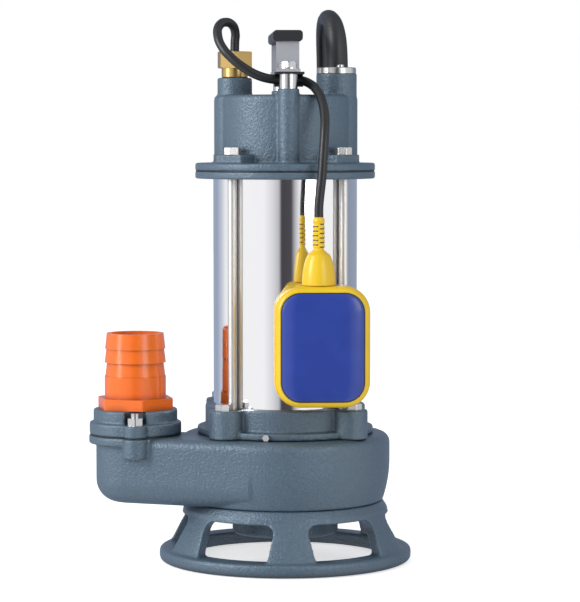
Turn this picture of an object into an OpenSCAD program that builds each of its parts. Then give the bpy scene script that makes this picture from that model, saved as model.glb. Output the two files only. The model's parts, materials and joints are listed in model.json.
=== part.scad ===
// Submersible sump pump with a float switch, a hose outlet and a cast stand.
// Millimetres, +Z up. The floor is z = 0, the shaft runs along Z, the outlet is on the -X side
// and the float hangs on the -Y side.

/* [Stand] */
// Height of the stand, from the floor to the volute
stand_h = 54; // [50:1:62]
// Outer radius of the foot ring
foot_r = 112; // [110:1:122]
// Radial width of the foot ring
foot_w = 21; // [18:1:24]
// Height of the foot ring
foot_h = 12; // [9:0.5:15]
// Number of legs
leg_count = 6; // [5:1:7]
// Width of a leg
leg_w = 30; // [24:1:36]
// Radial thickness of a leg
leg_t = 14; // [10:1:16]
// Height of the band that joins the legs at the top
band_h = 11.5; // [10:0.5:14]
// Thickness of the plate that the volute stands on
band_plate_t = 8; // [6:0.5:9]

/* [Volute] */
// Outer radius of the volute
volute_r = 93; // [92:0.5:98]
// Height of the volute
volute_h = 59.5; // [58:0.5:66]
// Wall of the volute at its outlet side
volute_wall = 6; // [5:0.5:7]
// Thickness of the volute's floor and crown
volute_floor_t = 8; // [7:0.5:9]
// How much the spiral passage widens from one quarter turn to the next
spiral_step = 5; // [3:0.5:5.5]
// Distance of the outlet from the shaft, along X
outlet_x = 133; // [130:1:142]
// Distance of the outlet from the shaft, along Y
outlet_y = 9; // [4:1:14]
// Outer radius of the elbow below the outlet
elbow_r = 34.8; // [34:0.2:37]

/* [Impeller] */
// Radius of the impeller
impeller_r = 60; // [56:0.5:61]
// Thickness of the impeller's disc
disc_t = 5; // [4:0.5:7]
// Height of the vanes
vane_h = 26; // [20:1:27]
// Number of vanes
vane_count = 6; // [4:1:7]
// Thickness of a vane
vane_t = 5.5; // [4:0.5:7]
// Radius of the arc that a vane follows
vane_arc_r = 33; // [31:0.5:36]
// Radius at which the vanes end
vane_tip_r = 47.5; // [44:0.5:52]
// Radius of the suction inlet
inlet_r = 32; // [28:0.5:34]

/* [Shaft and bearings] */
// Radius of the shaft in the bearings
shaft_r = 10; // [9.5:0.1:10.5]
// Radius of the shaft in the impeller
nose_r = 8; // [7:0.1:8.4]
// Outer radius of a bearing
bearing_r = 23.5; // [22.5:0.1:25]
// Width of a bearing
bearing_w = 14; // [12:0.5:14]
// Number of balls in a bearing
ball_count = 8; // [7:1:8]
// Radius of a bearing ball
ball_r = 3.9; // [3.4:0.1:4]

/* [Motor] */
// Outer radius of the stainless shell
shell_r = 63.6; // [62.6:0.1:63.7]
// Wall of the shell
shell_t = 1.2; // [0.8:0.1:1.5]
// Length of the shell
shell_h = 200; // [190:0.5:215]
// Length of the stator stack
stack_h = 90; // [80:1:100]
// Radius of the rotor
rotor_r = 32; // [30:0.5:33]
// Air gap between rotor and stator
air_gap = 0.4; // [0.3:0.05:0.6]
// Number of stator slots
slot_count = 24; // [18:6:24]
// Radius of the circle that the tie bolts stand on
tie_pitch_r = 68.3; // [68:0.1:69]
// Height of the lower bracket
bracket_h = 25.5; // [25:0.5:30]

/* [Top cover] */
// Radius of the top flanges
flange_r = 79.5; // [79:0.5:84]
// Thickness of the upper bracket's flange
upper_flange_t = 6.5; // [6:0.1:9]
// Thickness of the gasket under the top cover
gasket_t = 1; // [0.8:0.1:1.5]
// Thickness of the top cover's flange
cover_flange_t = 6.3; // [6:0.1:9]
// Height of the bolt pads on the cover's flange
pad_h = 7.5; // [5:0.5:8]
// Radius of the cover's drum
drum_r = 57; // [56:0.5:59]
// Height of the drum above the flange
drum_h = 59.5; // [58:0.1:66]
// Wall of the cover
cover_wall = 5; // [4:0.5:6]
// Distance of the float cable gland from the shaft
float_gland_x = 44.5; // [43:0.5:46]
// Distance of the power cable gland from the shaft
power_gland_x = 45.5; // [44:0.5:47]

/* [Handle] */
// Distance of a handle bolt from the shaft
handle_y = 54; // [53:0.5:56]
// Width of the handle strap
strap_w = 20; // [18:0.5:23]
// Thickness of the handle strap
strap_t = 2.5; // [2:0.1:3]
// Height of the grip's top above the drum
grip_top_h = 55.5; // [52:0.5:66]
// Length of the spacer sleeves under the handle
sleeve_h = 12.5; // [11:0.5:16]

/* [Outlet] */
// Thickness of the outlet flange plate
outlet_plate_t = 10.7; // [9:0.1:13]
// Radius of the outlet flange plate
outlet_plate_r = 40.5; // [40:0.5:43]
// Height of the collar on the outlet flange
collar_h = 11.3; // [10:0.1:14]
// Radius of the collar on the outlet flange
collar_r = 37; // [35:0.5:38]
// Distance of the outlet studs from the outlet's axis
stud_r = 38.5; // [38:0.5:40]
// Radius of the passage through the hose barb
outlet_bore_r = 20.5; // [18:0.5:22]
// Radius of the hose barb below its teeth
barb_r = 27; // [25:0.1:27.5]
// Number of teeth on the barb
tooth_count = 3; // [2:1:3]
// Distance from one tooth to the next
tooth_pitch = 12.1; // [9:0.1:12.3]
// Width of the barb's hexagon across its flats
barb_af = 61; // [58:0.5:62]
// Height of the barb's hexagon
barb_hex_h = 9.8; // [8:0.1:12]

/* [Float] */
// Width of the float
float_w = 81.6; // [76:0.2:84]
// Height of the float
float_h = 103.5; // [96:0.5:104]
// Thickness of the float
float_t = 41; // [38:0.5:42]
// Radius of the float's corners
float_corner_r = 22; // [18:0.5:24]
// Width of the float's rim round its panels
float_rim = 5; // [4:0.5:7]
// Radius of the steel ball in the float
float_ball_r = 7; // [6:0.5:8]
// How far the ball rolls
float_ball_travel = 24; // [18:1:26]
// Diameter of the float cable
float_cable_d = 8; // [7.5:0.1:8.1]
// Diameter of the power cable
power_cable_d = 10; // [9:0.1:10.1]

/* [Hidden] */
$fn = 64;

// Fits
eps = 0.01;
fit_gap = 0.1;      // between pieces that slide together and stay put
press_gap = 0.02;   // between pieces that are pressed together
run_gap = 0.05;     // round what turns
seat_gap = 0.3;     // between a moving piece and its seat

// Levels, from the floor up
z_band = stand_h - band_h;
z_volute = stand_h;
z_chamber = z_volute + volute_floor_t;
z_crown = z_volute + volute_h;
z_shell = z_crown + bracket_h;
z_upper = z_shell + shell_h;
z_gasket = z_upper + upper_flange_t;
z_cover = z_gasket + gasket_t;
z_cover_top = z_cover + cover_flange_t;
z_pad = z_cover_top + pad_h;
z_drum = z_cover_top + drum_h;

// Screws and bolts
m8_r = 4;
m8_af = 13;
m8_head_h = 5.3;
m8_nut_h = 6.5;
m6_r = 3;
m6_head_r = 5;
m6_head_h = 6;
m6_len = 14;
corner_angles = [45, 135, 225, 315];

// Stand
base_bolt_r = 68;
bolt_head_room = 2.5;
band_r = max(volute_r - 2, base_bolt_r + m8_af / 2 + bolt_head_room + leg_t);
band_top_r = band_r - 4.5;
leg_top_r = band_r + 1;
leg_foot_r = foot_r - 4;
leg_bite = 3;
base_bolt_len = band_plate_t + 7;

// Suction plate
spigot_r = 45;
suction_flange_r = 59.5;
suction_flange_t = 8;
collar_bottom_z = 24;
suction_collar_r = inlet_r + 15;
plate_screw_r = 53;

// Volute
crown_fillet = 8;
barrel_r = 107.6;   // radius of the barrel curve below the widest level
barrel_h = 36;      // height over which the barrel curve draws in
elbow_fillet = 20;
passage_top = z_crown - volute_floor_t;
passage_r = volute_r - volute_wall;
opening_r = 68;
volute_flange_t = 7.5;
volute_flange_r = outlet_plate_r + 0.5;
nose_lug_r = 10.5;
stud_boss_r = 11.2;
stud_boss_h = 10;
wall_step = 0.2;   // how far the duct's walls stand proud of the round walls they run into
elbow_bore_r = elbow_r - volute_wall - 1;
outlet_dir = atan2(-outlet_y, -outlet_x);
outlet_dist = norm([outlet_x, outlet_y]);
// The front wall of the duct is the line that touches both the volute and the elbow
wall_normal = outlet_dir + acos((volute_r - elbow_r) / outlet_dist);
wall_start = (volute_r + wall_step) * [cos(wall_normal), sin(wall_normal)];
duct_len = sqrt(pow(outlet_dist, 2) - pow(volute_r - elbow_r, 2));

// Impeller
vane_gap = 0.5;
z_vane = z_chamber + vane_gap;
z_disc = z_vane + vane_h;
z_disc_top = z_disc + disc_t;
hub_r = 16;
hub_bore_r = 13.5;
nut_h = 8;
nut_af = 18;
nut_thread_r = 6;
washer_t = 1.5;
z_nut = z_vane + 2;
z_washer = z_nut + nut_h;
z_hub_seat = z_washer + washer_t;
key_w = 5;
key_depth = 2.5;
vane_root_r = 17.4;
vane_root_angle = 126;
// The centre of a vane's arc lies straight across from its root
vane_centre = [vane_root_r * cos(vane_root_angle) + vane_arc_r, vane_root_r * sin(vane_root_angle)];

// Oil chamber and shaft seal
oil_r = 40;
seal_plate_gap = 1;
z_seal_plate = z_disc_top + seal_plate_gap;
seal_head_depth = 8;
z_seal_head = z_seal_plate + seal_head_depth;
seal_screw_len = z_crown + 3 - z_seal_head;
seat_r = 15;
seat_t = 6;
z_seat = z_seal_plate + 1.5;
z_oil_floor = z_seat + seat_t;
ring_t = 5.5;
z_ring = z_seat + seat_t;
z_spring = z_ring + ring_t;
spring_r = 12;
spring_wire_r = 1.1;
spring_turns = 4;
z_lower_bearing = z_shell - bearing_w;
bearing_lip = 4;
z_oil_top = z_lower_bearing - bearing_lip;
z_collar = z_oil_top - 1.5;
spring_h = z_collar - z_spring;
seal_shaft_r = 9;

// Lower bracket
bracket_r = 71;
ledge_r = 78;
ledge_h = 6.5;
lug_r = 15;
lug_pitch_r = 76.5;
lug_edge = 1.5;
ledge_gap = 0.2;   // the ledge stands this clear of the volute
bracket_bolt_r = tie_pitch_r + 11.9;
bracket_bolt_len = bracket_h + 7;
shell_spigot_h = 8;
shell_in_r = shell_r - shell_t;
spigot_wall = 7;
tie_thread_depth = 21;
ring_groove = 1.6;
oil_plug_angle = -105;
oil_plug_z = z_crown + 3.3;

// Motor
stack_z = z_shell + (shell_h - stack_h) / 2 - 6;
stack_top = stack_z + stack_h;
end_ring_h = 10;
end_ring_r = 28;
rotor_seat_r = 12;
winding_h = 24;
slot_in_r = rotor_r + air_gap + 2;
slot_out_r = slot_in_r + 15;
slot_w = 4;
slot_mouth_w = 1.6;
upper_bearing_drop = 14.5;
z_upper_bearing = z_upper - upper_bearing_drop;
wave_h = 2;
shaft_top = z_upper_bearing + bearing_w + 1;
housing_r = bearing_r + 5.5;

// Bearings
inner_race_r = (shaft_r + bearing_r) / 2;   // radius of the circle of balls
race_land = 2.2;                            // how far a ring stops short of the circle of balls
cage_t = 1.6;
cage_h = 2 * ball_r + 1.8;

// Top cover
drum_edge = 4;
column_r = 18.3;
left_boss_r = 15.3;
left_boss_h = 15.2;
right_boss_r = 17.9;
right_boss_h = 19.2;
right_column_r = 18.6;
post_r = 9.5;
post_h = 4.8;
pad_r = 15;
pad_pitch_r = 74;
cover_bore_r = 8.1;
z_left_boss = z_drum + left_boss_h;
z_right_boss = z_drum + right_boss_h;
z_post = z_drum + post_h;

// Inside the cover
capacitor_r = 17.5;
capacitor_h = 52;
tab_x = 6;
tab_w = 6;
tab_t = 0.8;
block_l = 32;
block_w = 14;
block_h = 13;
block_y = 24;
wire_r = 2.4;

// Handle
z_clip = z_post + sleeve_h;
clip_t = 2;
z_foot = z_clip + clip_t;
z_washers = z_foot + strap_t;
handle_washer_t = 1.2;
z_handle_head = z_washers + handle_washer_t;
handle_thread_depth = 14;
sleeve_r = 8;
handle_washer_r = 8.5;
grip_top = z_drum + grip_top_h;
grip_h = 9.6;
grip_w = strap_w + 5.6;
grip_z = grip_top - grip_h / 2;
leg_in = 9.5;                    // from a handle bolt to the outer face of the strap's leg
leg_y = handle_y - leg_in;
foot_end = 9;
grip_half = leg_y + 5;
strap_bend = 3.5;
clip_r = float_cable_d / 2 + 0.3;
clip_y = -(handle_y - sleeve_r) + float_cable_d / 2 + 0.6;
clip_z = z_clip - clip_r;
clip_w = 25;

// Glands
gland_collar_r = 11.6;
gland_collar_h = 8.5;
gland_thread_r = 8;
gland_thread_h = 12;
gland_nut_af = 28;
gland_nut_h = 14.6;
z_gland_nut = z_left_boss + gland_collar_h;
z_gland_top = z_gland_nut + gland_nut_h;
gland_plate_r = 17.3;
gland_plate_t = 5.3;
z_boot = z_right_boss + gland_plate_t;
boot_base_r = 10.2;
gland_screw_r = 13.8;
gland_screw_angle = -80;
m4_r = 2;
m4_head_r = 3.4;
m4_head_h = 2.4;
m4_len = 14;

// Outlet
outlet_gasket_t = 1;
z_outlet_plate = z_crown + outlet_gasket_t;
z_outlet_collar = z_outlet_plate + outlet_plate_t;
z_barb_hex = z_outlet_collar + collar_h;
z_barb = z_barb_hex + barb_hex_h;
barb_thread_r = barb_r;
barb_thread_h = 15;
barb_land_h = 19;
tooth_step = 1.5;
land_step = 0.5;      // the lowest tooth starts this far inside the land
tooth_taper = 0.4;
tip_h = 13.6;
barb_turn = 10;
z_teeth = z_barb + barb_land_h;
z_barb_top = z_teeth + (tooth_count - 1) * tooth_pitch + tip_h;
stud_top = z_outlet_collar + m8_nut_h + 4;

// Float. It hangs from the end of its cable at float_hinge
hang_gap = 10;     // the hanging cable stands this far off the flange's edge
hang_drop = 125.6;
float_hinge = [24, -(flange_r + hang_gap), z_clip - hang_drop];
neck_ball_r = 5.2;
neck_r = 4.5;
neck_rib_r = 5.2;
neck_rib_pitch = 3.9;
neck_rib_count = 5;
neck_rib_start = 4.5;
neck_len = 55;
bell_r = 14.5;
bell_h = 30;
bell_steps = 8;
float_top_z = float_hinge[2] - neck_len;
float_x = 26.5;
float_edge = 9;
float_mid_z = float_top_z - float_h / 2;
panel_t = 2;
panel_bulge = 1.5;
float_wall = 2.5;
track_wall = 1.5;
track_w = 2 * float_ball_r + 2 * seat_gap + 2 * track_wall;
track_end = 2;
ball_rest_z = float_mid_z - 30;

// Power cable: straight out of its boot, over in a bend backwards, down behind the shell, past the
// volute and the stand and along the floor to the coil
cable_r = power_cable_d / 2;
function at_boot(p) = [power_gland_x + p[0], p[1], z_boot + p[2]];
function behind_cover(p) = [power_gland_x + p[0], flange_r + p[1], z_boot + p[2]];
boot_path = [for (p = [
    [0, 0, 0.2], [0, 0, 8.2], [-0.2, 1, 19.2], [-0.9, 3.5, 29.2], [-2.5, 9, 38.2], [-4.9, 18, 43.8],
    [-7.1, 29, 44.7]
]) at_boot(p)];
boot_radii = [10.2, 10, 9.7, 9.3, 8.7, 7.8, 6.9];
cable_path = concat(
    [for (p = [[-7.22, 29.6, 44.75], [-8.39, 35.46, 45.23], [-9.3, 44, 43.6], [-9.6, 55, 37.5]]) at_boot(p)],
    [for (p = [
        [-9, -13.5, 26], [-8, -6, 11], [-7.5, -1, -7], [-7.5, 1, -27], [-7.5, 2.5, -62], [-7.5, 3.5, -97],
        [-7.5, 4.5, -137]
    ]) behind_cover(p)],
    [[37.3, 86, 255], [36.5, 90, 210], [35, volute_r + 3, 165], [33.5, volute_r + 12, 122],
        [32, volute_r + 23, 85], [31, foot_r + 17, 50], [32, foot_r + 34, 22], [36, 168, 8.4],
        [42, 186, 5.3], [52, 204, 5]]
);

// Coil behind the stand: it spirals in and out and climbs a layer where the spiral reverses
coil_centre = [0, 272];
coil_out_r = 76;
coil_pitch = 10.7;
coil_turns = 3;
coil_steps = 24;
coil_start = -10;
coil_layers = 4;
last_turns = 3;
plug_r = 18;
plug_len = 34;
plug_tail_len = 22;
plug_pin_r = 2.4;
plug_pin_len = 19;
plug_pin_gap = 19;
lift_turns = 0.3;     // the end rises on to the coil, then turns in over it
turn_in = 26;

// Float cable: a loop above its gland, then forward and under the handle's front foot, over the
// edge of the cover and down to the float
float_path = concat(
    [for (p = [
        [0, 0, 0], [0.2, 0, 8.4], [0.5, -1, 16.4], [-2, -4.5, 22.9], [-8.5, -10.5, 25.4],
        [-14.5, -18, 21.4], [-15.5, -26, 12.4], [-12, -32, 2.9], [-4.5, -37, -6.1]
    ]) [p[0] - float_gland_x, p[1], z_gland_top + p[2]]],
    [for (p = [
        [-38, 0.9, 5.9], [-25, -0.1, -1.1], [-12, 0, -4.2], [0, 0, -4.5], [11, -0.4, -5],
        [19, -5.6, -8.1], [25, -14.6, -14.6], [28.5, -24.6, -24.1]
    ]) [p[0], clip_y + p[1], z_clip + p[2]]],
    [for (p = [
        [6, 13.5, -36.6], [5.3, 5.5, -51.6], [4, 1.5, -69.6], [2.5, 0.1, -89.6], [0.8, 0, -104.6],
        [0, 0, -113.6], [0, 0, -120.1]
    ]) [float_hinge[0] + p[0], float_hinge[1] + p[1], z_clip + p[2]]]
);

// Colours
cast_blue = [0.39, 0.47, 0.54];
steel = [0.72, 0.73, 0.75];
dark_steel = [0.45, 0.46, 0.48];
iron = [0.62, 0.62, 0.66];
copper = [0.72, 0.42, 0.22];
brass = [0.85, 0.70, 0.38];
black_rubber = [0.12, 0.12, 0.13];
orange = [0.94, 0.42, 0.16];
float_yellow = [0.95, 0.78, 0.18];
float_blue = [0.18, 0.27, 0.62];
white_plastic = [0.88, 0.88, 0.85];
ceramic = [0.92, 0.90, 0.86];

// ---------- shapes that repeat ----------

// Round bar along Z with its top and bottom edges rounded
module rounded_disc(r, h, top = 0, bottom = 0) {
    rotate_extrude() rounded_profile(r, h, top, bottom);
}

// Half section of a rounded disc
module rounded_profile(r, h, top, bottom) {
    inset = max(top, bottom);
    translate([0, bottom]) square([r, h - top - bottom]);
    square([r - inset, h]);
    if (top > 0) {
        square([r - top, h]);
        translate([r - top, h - top]) intersection() { circle(top); square(top); }
    }
    if (bottom > 0) {
        square([r - bottom, h - top]);
        translate([r - bottom, bottom]) intersection() { circle(bottom); translate([0, -bottom]) square(bottom); }
    }
}

// Ring along Z
module tube(r_out, r_in, h) {
    difference() {
        cylinder(r = r_out, h = h);
        translate([0, 0, -1]) cylinder(r = r_in, h = h + 2);
    }
}

// Hexagon along Z with two flats square to X
module hexagon(af, h) {
    rotate([0, 0, 30]) cylinder(r = af / 2 / cos(30), h = h, $fn = 6);
}

// Hexagon bolt that points down from z = 0
module hex_bolt(r, len, af, head_h) {
    translate([0, 0, -len]) cylinder(r = r, h = len + eps, $fn = 32);
    intersection() {
        hexagon(af, head_h);
        rounded_disc(af * 0.56, head_h, top = 1);
    }
}

// One copy at each corner bolt's angle
module at_corners(r) {
    for (a = corner_angles) rotate([0, 0, a]) translate([r, 0, 0]) children();
}

// The two ends of something along Y
module at_both_ends(y) {
    for (s = [-1, 1]) translate([0, s * y, 0]) rotate([0, 0, s > 0 ? 180 : 0]) children();
}

// Points along a smooth curve through the given points
function bend(a, b, c, d, t) = 0.5 * (2 * b + (c - a) * t + (2 * a - 5 * b + 4 * c - d) * t * t
    + (3 * b - a - 3 * c + d) * t * t * t);
function smooth(p, steps) = [
    for (i = [0:len(p) - 2], j = [0:steps - 1])
        bend(p[max(i - 1, 0)], p[i], p[i + 1], p[min(i + 2, len(p) - 1)], j / steps),
    p[len(p) - 1]
];
function unit(v) = v / norm(v);
function along(p, i) = unit(p[min(i + 1, len(p) - 1)] - p[max(i - 1, 0)]);
// A direction square to the path, carried from ring to ring so that the tube doesn't twist
function square_to(d, n) = unit(n - (n * d) * d);
function frames(p, n) = [for (i = 0, f = square_to(along(p, 0), n); i < len(p);
    i = i + 1, f = i < len(p) ? square_to(along(p, i), f) : f) f];
function ring_point(p, d, n, r, a) = p + r * (cos(a) * n + sin(a) * cross(d, n));

// Tube along the points p, with one radius for each point
module swept(p, radii, sides, n = [1, 0, 0]) {
    f = frames(p, n);
    count = len(p);
    points = [
        for (i = [0:count - 1], k = [0:sides - 1])
            ring_point(p[i], along(p, i), f[i], radii[i], 360 * k / sides)
    ];
    walls = [
        for (i = [0:count - 2], k = [0:sides - 1]) each [
            [i * sides + k, (i + 1) * sides + k, i * sides + (k + 1) % sides],
            [i * sides + (k + 1) % sides, (i + 1) * sides + k, (i + 1) * sides + (k + 1) % sides]
        ]
    ];
    ends = [
        for (k = [1:sides - 2]) each [
            [0, k, k + 1],
            [(count - 1) * sides, (count - 1) * sides + k + 1, (count - 1) * sides + k]
        ]
    ];
    polyhedron(points, concat(walls, ends), convexity = 8);
}

module swept_round(p, r, sides, n = [1, 0, 0]) {
    swept(p, [for (i = p) r], sides, n);
}

// ---------- stand ----------

module leg_window(half_w) {
    top_r = 9;
    height = z_band - foot_h + leg_bite;
    translate([0, 0, foot_h - leg_bite]) rotate([90, 0, 90])
        translate([0, 0, band_r - 40]) linear_extrude(height = 80) {
            translate([-half_w, 0]) square([2 * half_w, height - top_r]);
            translate([top_r - half_w, 0]) square([2 * (half_w - top_r), height]);
            for (s = [-1, 1]) translate([s * (half_w - top_r), height - top_r]) circle(top_r);
        }
}

module base_stand() color(cast_blue) {
    half_angle = 180 / leg_count;
    mid_r = (leg_top_r + leg_foot_r) / 2 - leg_t / 2;
    window_half = mid_r * sin(half_angle) - leg_w / 2 * cos(half_angle);
    difference() {
        rounded_disc(foot_r, foot_h, top = 3.5, bottom = 4.5);
        translate([0, 0, -1]) cylinder(r = foot_r - foot_w, h = foot_h + 2);
    }
    difference() {
        rotate_extrude() polygon([
            [leg_top_r - leg_t, z_band + leg_bite], [leg_top_r - 1.5, z_band + leg_bite],
            [leg_foot_r + 1, foot_h - leg_bite], [leg_foot_r + 1 - leg_t, foot_h - leg_bite]
        ]);
        for (i = [0:leg_count - 1])
            rotate([0, 0, -90 + half_angle * (2 * i + 1)]) leg_window(window_half);
    }
    difference() {
        rotate_extrude() polygon([
            [suction_flange_r + 1.5, stand_h - band_plate_t], [leg_top_r - leg_t, stand_h - band_plate_t],
            [leg_top_r - leg_t, z_band], [band_r, z_band], [band_r, z_band + 4.5],
            [band_top_r, stand_h], [suction_flange_r + 1.5, stand_h]
        ]);
        at_corners(base_bolt_r) translate([0, 0, z_band - 1]) cylinder(r = m8_r + fit_gap, h = band_h + 2);
    }
}

module base_bolts() color(steel)
    at_corners(base_bolt_r) translate([0, 0, stand_h - band_plate_t]) rotate([180, 0, 0])
        hex_bolt(m8_r, base_bolt_len, m8_af, m8_head_h);

// ---------- suction plate and screws ----------

module suction_plate() color(cast_blue) difference() {
    union() {
        translate([0, 0, z_volute - suction_flange_t]) cylinder(r = suction_flange_r, h = suction_flange_t);
        translate([0, 0, z_volute - eps]) cylinder(r = spigot_r - fit_gap, h = volute_floor_t);
        translate([0, 0, collar_bottom_z]) rounded_disc(suction_collar_r, z_volute - collar_bottom_z - 1, bottom = 3);
    }
    translate([0, 0, collar_bottom_z - 1]) cylinder(r = inlet_r, h = z_chamber);
    translate([0, 0, collar_bottom_z - eps]) cylinder(r1 = inlet_r + 6, r2 = inlet_r, h = 8);
    at_corners(plate_screw_r) translate([0, 0, collar_bottom_z]) {
        cylinder(r = m6_r + fit_gap, h = 60);
        cylinder(r = m6_head_r + 0.6, h = z_volute - suction_flange_t - collar_bottom_z);
    }
}

module cap_screw(len) {
    translate([0, 0, -m6_head_h]) difference() {
        rounded_disc(m6_head_r, m6_head_h, bottom = 0.8);
        translate([0, 0, -1]) hexagon(5, 4);
    }
    translate([0, 0, -eps]) cylinder(r = m6_r, h = len, $fn = 32);
}

module plate_screws() color(steel) {
    at_corners(plate_screw_r) translate([0, 0, z_volute - suction_flange_t]) cap_screw(m6_len);
    at_corners(plate_screw_r) translate([0, 0, z_seal_head]) cap_screw(seal_screw_len);
}

// ---------- volute ----------

// Half section of the casing: a gentle barrel below, straight above, with a rounded crown
module casing_profile() {
    intersection() {
        translate([volute_r - barrel_r, barrel_h]) circle(barrel_r, $fn = 256);
        square([volute_r, barrel_h + 2]);
    }
    translate([0, barrel_h]) square([volute_r, volute_h - barrel_h - crown_fillet]);
    square([volute_r - crown_fillet, volute_h]);
    translate([volute_r - crown_fillet, volute_h - crown_fillet]) circle(crown_fillet);
}

// Section of the duct from the front wall (x = 0) to the rear wall
module duct_profile() {
    w = 2 * (elbow_r + wall_step);
    translate([0, elbow_fillet]) square([w, volute_h - elbow_fillet - crown_fillet]);
    translate([elbow_fillet, 0]) square([w - 2 * elbow_fillet, volute_h]);
    translate([crown_fillet, elbow_fillet]) square([w - 2 * crown_fillet, volute_h - elbow_fillet]);
    for (x = [elbow_fillet, w - elbow_fillet]) translate([x, elbow_fillet]) circle(elbow_fillet);
    for (x = [crown_fillet, w - crown_fillet]) translate([x, volute_h - crown_fillet]) circle(crown_fillet);
}

// Places its child with x along the front wall's inward side and the extrusion towards the elbow
module along_duct() {
    translate([wall_start[0], wall_start[1], 0]) rotate([0, 0, wall_normal + 180])
        mirror([0, 1, 0]) rotate([90, 0, 0]) children();
}

// The spiral passage: four quarter turns, each wider than the one before
module passage(h) {
    centres = [
        [spiral_step + 1, 1], [spiral_step + 1, -spiral_step], [0, -spiral_step], [0, 0]
    ];
    radii = [
        passage_r - 3 * spiral_step - 2, passage_r - 2 * spiral_step - 1, passage_r - spiral_step, passage_r
    ];
    starts = [90, 0, -90, -180];
    for (i = [0:3]) translate([centres[i][0], centres[i][1], 0])
        rotate([0, 0, starts[i]]) rotate_extrude(angle = 90) intersection() {
            rounded_profile(radii[i], h, 5, 6);
            square([radii[i], h]);
        }
    cylinder(r = passage_r - 4 * spiral_step - 6, h = h);
}

module outlet_outline(h, r, nose) {
    cylinder(r = r, h = h);
    at_both_ends(stud_r) cylinder(r = nose, h = h);
}

module at_outlet() {
    translate([-outlet_x, -outlet_y, 0]) children();
}

module volute() color(cast_blue) difference() {
    union() {
        translate([0, 0, z_volute]) rotate_extrude($fn = 128) casing_profile();
        translate([0, 0, z_volute]) along_duct() linear_extrude(height = duct_len) duct_profile();
        at_outlet() translate([0, 0, z_volute]) rounded_disc(elbow_r, volute_h - 1, bottom = elbow_fillet);
        at_outlet() translate([0, 0, z_crown - volute_flange_t]) cylinder(r = volute_flange_r, h = volute_flange_t);
        at_outlet() at_both_ends(stud_r) translate([0, 0, z_crown - volute_flange_t - stud_boss_h])
            cylinder(r = stud_boss_r, h = stud_boss_h + volute_flange_t);
    }
    translate([0, 0, z_chamber]) passage(passage_top - z_chamber);
    translate([0, 0, z_seal_plate - seal_plate_gap / 2]) cylinder(r = opening_r, h = volute_h);
    translate([0, 0, z_volute - 1]) cylinder(r = spigot_r, h = volute_floor_t + 2);
    translate([0, 0, z_chamber + 2]) along_duct() translate([volute_wall + 2, 0, 0])
        linear_extrude(height = duct_len) square([2 * elbow_bore_r - 2.5, passage_top - z_chamber - 4]);
    at_outlet() translate([0, 0, z_chamber]) {
        rounded_disc(elbow_bore_r, volute_h, bottom = 12);
    }
    at_outlet() at_both_ends(stud_r) translate([0, 0, z_crown - volute_flange_t - stud_boss_h - 1])
        cylinder(r = m8_r + fit_gap, h = volute_h);
    at_corners(base_bolt_r) translate([0, 0, z_volute - 1]) cylinder(r = m8_r + fit_gap, h = 8.2);
    at_corners(plate_screw_r) translate([0, 0, z_volute - 1]) cylinder(r = m6_r + fit_gap, h = 7.5);
    at_corners(bracket_bolt_r) translate([0, 0, z_crown - 7.2]) cylinder(r = m8_r + fit_gap, h = 10);
}

// ---------- impeller ----------

module vane() {
    tip = acos((pow(norm(vane_centre), 2) + pow(vane_arc_r, 2) - pow(vane_tip_r, 2))
        / (2 * norm(vane_centre) * vane_arc_r));
    translate([vane_centre[0], vane_centre[1], 0])
        rotate([0, 0, 98]) rotate_extrude(angle = 88)
            translate([vane_arc_r - vane_t / 2, 0]) square([vane_t, vane_h + 1]);
}

module impeller() color(iron) difference() {
    union() {
        translate([0, 0, z_disc]) rounded_disc(impeller_r, disc_t, top = 1, bottom = 1);
        translate([0, 0, z_vane]) intersection() {
            mirror([1, 0, 0]) for (i = [0:vane_count - 1]) rotate([0, 0, 360 / vane_count * i]) vane();
            cylinder(r = vane_tip_r, h = vane_h + disc_t);
        }
        translate([0, 0, z_vane]) rounded_disc(hub_r, vane_h + disc_t, bottom = 1);
    }
    translate([0, 0, z_vane - 1]) cylinder(r = hub_bore_r, h = z_hub_seat - z_vane + 1);
    cylinder(r = nose_r + press_gap, h = z_disc_top + 1);
    translate([nose_r - key_depth, -key_w / 2 - press_gap, z_hub_seat - 1])
        cube([2 * key_depth + press_gap, key_w + 2 * press_gap, z_disc_top - z_hub_seat + 2]);
}

module impeller_key() color(dark_steel)
    translate([nose_r - key_depth, -key_w / 2, z_hub_seat + 1])
        cube([2 * key_depth, key_w, z_disc_top - z_hub_seat - 2]);

module impeller_washer() color(steel)
    translate([0, 0, z_washer]) tube(hub_bore_r - 1.5, nut_thread_r + fit_gap, washer_t);

module impeller_nut() color(steel) translate([0, 0, z_nut]) difference() {
    intersection() {
        hexagon(nut_af, nut_h);
        rounded_disc(nut_af * 0.56, nut_h, bottom = 1);
    }
    translate([0, 0, -1]) cylinder(r = nut_thread_r + press_gap, h = nut_h + 2);
}

// ---------- shaft, seal and bearings ----------

module shaft() color(steel) difference() {
    union() {
        translate([0, 0, z_nut - 1]) cylinder(r = nut_thread_r, h = z_hub_seat - z_nut + 2);
        translate([0, 0, z_hub_seat]) cylinder(r = nose_r, h = z_disc_top - z_hub_seat + eps);
        translate([0, 0, z_disc_top]) cylinder(r = seal_shaft_r, h = z_collar - z_disc_top + eps);
        translate([0, 0, z_collar]) cylinder(r = spring_r + 1.2, h = 1.5);
        translate([0, 0, z_collar + 1]) cylinder(r = shaft_r, h = shaft_top - z_collar - 1);
        translate([0, 0, z_shell + 12]) cylinder(r = rotor_seat_r, h = stack_top + end_ring_h + 8 - z_shell - 12);
    }
    translate([nose_r - key_depth, -key_w / 2 - press_gap, z_hub_seat + 1 - press_gap])
        cube([key_depth + 2, key_w + 2 * press_gap, z_disc_top - z_hub_seat - 2 + 2 * press_gap]);
}

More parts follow.
